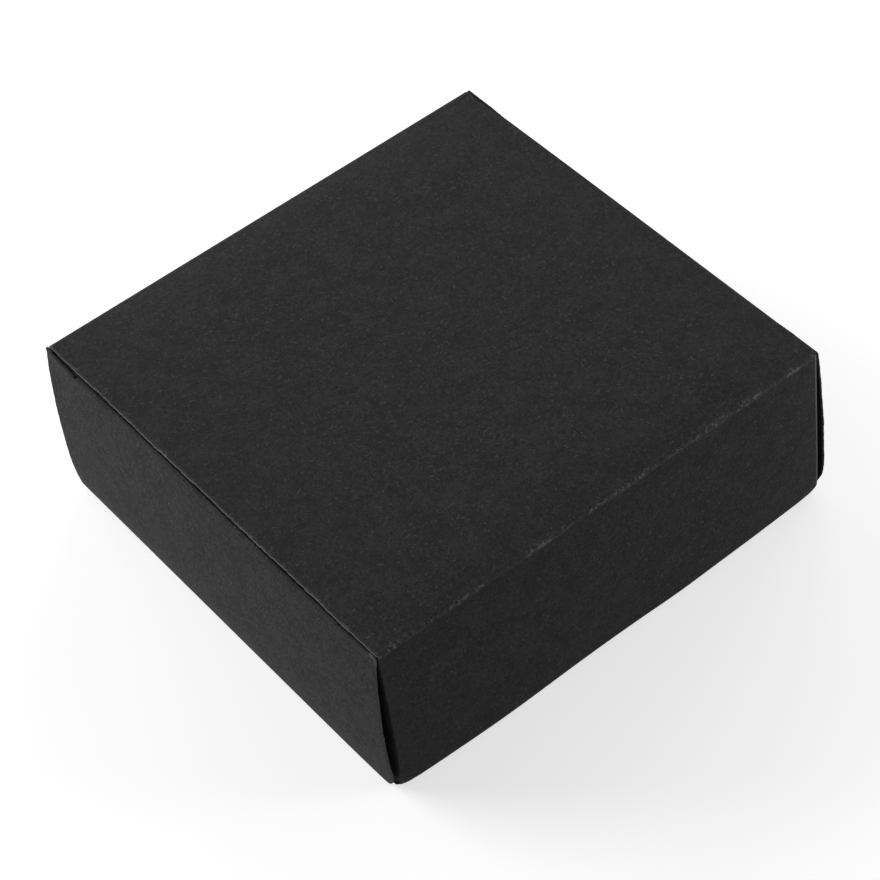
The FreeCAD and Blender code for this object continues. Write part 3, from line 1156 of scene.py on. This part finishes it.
def rub_and_highlight_fold(graph, where):
    """Share of pale board along the folds, which wander a little: rubbed specks, a band of painted
    light and painted highlights.
    """
    distance, highlight_evenness = graph.attribute("from_fold"), graph.attribute("rub_highlight_evenness")
    sway = graph.remap(graph.noise(where, **SWAY), *NOISE_SPAN, -FOLD_WANDER, FOLD_WANDER)
    off = graph.maths("ABSOLUTE", graph.total(distance, sway), 0.0)
    near = graph.remap(off, FOLD_RUB, FOLD_RUB * FULL_WITHIN, 0, 1)
    # Painted light: a faint pale band along each fold, lifting its shading
    painted_light = graph.remap(off, FOLD_PAINTED_LIGHT_REACH, FOLD_PAINTED_LIGHT_REACH * FULL_WITHIN, 0, FOLD_PAINTED_LIGHT)
    specks = graph.remap(graph.noise(where, **SPECKS), *SPECK_SPAN, 0, 1)
    clusters = graph.remap(graph.noise(where, **CLUSTERS), *CLUSTER_SPAN, BETWEEN_CLUSTERS, 1)
    # An even share is a painted highlight along a fold
    share = graph.greatest(graph.maths("MULTIPLY", specks, clusters), highlight_evenness)
    return graph.greatest(painted_light, graph.maths("MULTIPLY", near, share))


def make_board_material(name, contrast):
    """Matt black paper with a fine mottle, fibres and rubbed folds."""
    material, graph, shader = new_material(name)
    where = graph.places()
    fine, patches = graph.noise(where, **FINE), graph.noise(where, **PATCHES)
    clouds = graph.noise(where, **CLOUDS)
    mottle = graph.total(
        graph.remap(fine, *FINE_SPAN, -FINE_MOTTLE, FINE_MOTTLE),
        graph.remap(patches, *NOISE_SPAN, -PATCH_MOTTLE, PATCH_MOTTLE),
        graph.remap(clouds, *NOISE_SPAN, -CLOUD_MOTTLE, CLOUD_MOTTLE),
    )
    share = graph.remap(mottle, -1 / contrast, 1 / contrast, 0, 1)
    dark, light = (grey(BOARD_GREY * factor) for factor in MOTTLE_SHARES)
    colour = graph.mixed(share, dark, light)
    colour = graph.mixed(fibres(graph, where, PIT_SHIFT, PIT_SPARSENESS), colour, grey(PIT_GREY))
    fibre = fibres(graph, where, 0.0, FIBRE_SPARSENESS)
    colour = graph.mixed(fibre, colour, grey(FIBRE_GREY))
    # Pale wear specks, painted light and painted highlights along the folds
    colour = graph.mixed(rub_and_highlight_fold(graph, where), colour, grey(WORN_AND_HIGHLIGHT_GREY))
    height = graph.total(
        fine,
        graph.maths("MULTIPLY", fibre, FIBRE_RELIEF),
        graph.maths("MULTIPLY", patches, PATCH_RELIEF),
    )
    graph.feed(shader.inputs["Base Color"], colour)
    graph.feed(shader.inputs["Normal"], graph.bumped(height, BUMP_HEIGHT))
    graph.feed(shader.inputs["Roughness"], graph.remap(clouds, *NOISE_SPAN, *BOARD_ROUGHNESS))
    shader.inputs["Specular IOR Level"].default_value = BOARD_SPECULAR
    return material


def make_edge_material():
    """The furry core of the board, as pale as the sheet's edge_grey says, which holds painted light
    and painted highlights on some edges.
    """
    material, graph, shader = new_material("cut_edge")
    fuzz = graph.noise(graph.places(), **EDGE_FUZZ)
    furry = graph.remap(fuzz, *FUZZ_SPAN, *FUZZ_SHARES)
    colour = graph.maths("MULTIPLY", graph.attribute("edge_grey"), furry)
    graph.feed(shader.inputs["Base Color"], colour)
    graph.feed(shader.inputs["Normal"], graph.bumped(fuzz, FUZZ_HEIGHT))
    shader.inputs["Roughness"].default_value = EDGE_ROUGHNESS
    shader.inputs["Specular IOR Level"].default_value = BOARD_SPECULAR
    return material


def make_glue_material():
    """White glue, dried in blotches."""
    material, graph, shader = new_material("dried_glue")
    blotch = graph.noise(graph.places(), **GLUE_BLOTCH)
    share = graph.remap(blotch, *BLOTCH_SPAN, 0, 1)
    graph.feed(shader.inputs["Base Color"], graph.mixed(share, GLUE_DARK, GLUE_LIGHT))
    graph.feed(shader.inputs["Normal"], graph.bumped(blotch, FUZZ_HEIGHT))
    graph.feed(shader.inputs["Roughness"], graph.remap(blotch, *NOISE_SPAN, *GLUE_ROUGHNESS))
    return material


materials = {
    "black_board": make_board_material("black_board", 1.0),
    "scuffed_board": make_board_material("scuffed_board", SCUFFED_CONTRAST),
    "cut_edge": make_edge_material(),
    "dried_glue": make_glue_material(),
}


# The pieces

for make, node in (
    (top_panel, "top_panel"),
    (front_wall, "front_wall"),
    (back_wall, "back_wall"),
    (bottom_panel, "bottom_panel"),
):
    piece = make()
    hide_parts(node)
    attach(piece, "root")
for end in SIDES:
    closure(end)
    tuck_flap(end)
    for wall in WALLS:
        dust_flap(end, wall)


def paint(node, slot):
    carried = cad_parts[node]
    carried.data.materials.clear()
    carried.data.materials.append(materials[slot])


paint("glue_flap", "black_board")
paint("seam_glue", "dried_glue")


# Floor, light and camera

# The floor and the lamps are in metres
FLOOR_SIZE = 6.0
FLOOR_DROP = 0.0001
FLOOR_GREY = 0.68
FLOOR_GLOW = 0.63
FLOOR_ROUGHNESS = 0.9
WORLD_LIGHT = 0.1
LIGHT_AIM = (0, 0, 0.015)

# The camera is in millimetres, apart from its near clip
CAMERA_DISTANCE = 439.73
CAMERA_AIM = (-1.73, -3.17, 15.0)
CAMERA_AZIMUTH = math.radians(-32.171)
CAMERA_ELEVATION = math.radians(47.435)
CAMERA_ROLL = math.radians(-8.688)
LENS = 120.82
SENSOR_WIDTH = 36.0
CLIP_START = 0.01


def make_floor():
    """A pale floor that looks near white where it is seen, and keeps the object's shadow."""
    mesh = bpy.data.meshes.new("floor")
    h = FLOOR_SIZE / 2
    mesh.from_pydata([(-h, -h, 0), (h, -h, 0), (h, h, 0), (-h, h, 0)], [], [(0, 1, 2, 3)])
    floor = bpy.data.objects.new("floor", mesh)
    floor.location.z = -FLOOR_DROP
    bpy.context.scene.collection.objects.link(floor)
    material, graph, shader = new_material("floor")
    shader.inputs["Base Color"].default_value = grey(FLOOR_GREY)
    shader.inputs["Roughness"].default_value = FLOOR_ROUGHNESS
    shader.inputs["Specular IOR Level"].default_value = 0.0
    shader.inputs["Emission Color"].default_value = grey(1.0)
    glow = graph.maths("MULTIPLY", graph.seen_directly(), FLOOR_GLOW)
    graph.feed(shader.inputs["Emission Strength"], glow)
    mesh.materials.append(material)


def make_world():
    """White where it is seen, and a faint even light otherwise."""
    world = bpy.data.worlds.new("studio")
    bpy.context.scene.world = world
    world.use_nodes = True
    graph = Graph(world.node_tree)
    background = world.node_tree.nodes["Background"]
    background.inputs["Color"].default_value = grey(1.0)
    level = graph.remap(graph.seen_directly(), 0, 1, WORLD_LIGHT, 1.0)
    graph.feed(background.inputs["Strength"], level)


def make_light(name, azimuth, elevation, distance, size, power):
    """A square softbox aimed at the middle of the object. Azimuth 0 is +X, and 90 is +Y."""
    a, e = math.radians(azimuth), math.radians(elevation)
    towards = Vector((math.cos(a) * math.cos(e), math.sin(a) * math.cos(e), math.sin(e)))
    lamp = bpy.data.lights.new(name, "AREA")
    lamp.shape = "SQUARE"
    lamp.size = size
    lamp.energy = power
    light = bpy.data.objects.new(name, lamp)
    light.location = Vector(LIGHT_AIM) + towards * distance
    light.rotation_euler = towards.to_track_quat("Z", "Y").to_euler()
    light.visible_camera = False
    bpy.context.scene.collection.objects.link(light)


def make_lights():
    make_light("softbox_left_back", azimuth=125, elevation=18, distance=0.9, size=0.6, power=8.05)
    make_light("softbox_back", azimuth=90, elevation=15, distance=0.6, size=0.34, power=1.3)
    make_light("softbox_right_back", azimuth=30, elevation=30, distance=0.9, size=0.7, power=2.15)
    make_light("softbox_right", azimuth=350, elevation=20, distance=0.6, size=0.4, power=0.38)
    make_light("softbox_right_front", azimuth=310, elevation=15, distance=0.3, size=0.1, power=0.26)


def make_camera():
    a, e = CAMERA_AZIMUTH, CAMERA_ELEVATION
    back = Vector((math.sin(a) * math.cos(e), -math.cos(a) * math.cos(e), math.sin(e)))
    level_right = Vector((math.cos(a), math.sin(a), 0))
    level_up = back.cross(level_right)
    c, s = math.cos(CAMERA_ROLL), math.sin(CAMERA_ROLL)
    right, up = level_right * c + level_up * s, level_up * c - level_right * s
    data = bpy.data.cameras.new("camera")
    data.lens = LENS
    data.sensor_width = SENSOR_WIDTH
    data.clip_start = CLIP_START
    camera = bpy.data.objects.new("camera", data)
    turn = Matrix((right, up, back)).transposed().to_4x4()
    place = (Vector(CAMERA_AIM) + back * CAMERA_DISTANCE) * MM
    camera.matrix_world = Matrix.Translation(place) @ turn
    bpy.context.scene.collection.objects.link(camera)
    bpy.context.scene.camera = camera


make_floor()
make_world()
make_lights()
make_camera()
bpy.context.scene.view_settings.view_transform = "Standard"

bpy.context.view_layer.update()
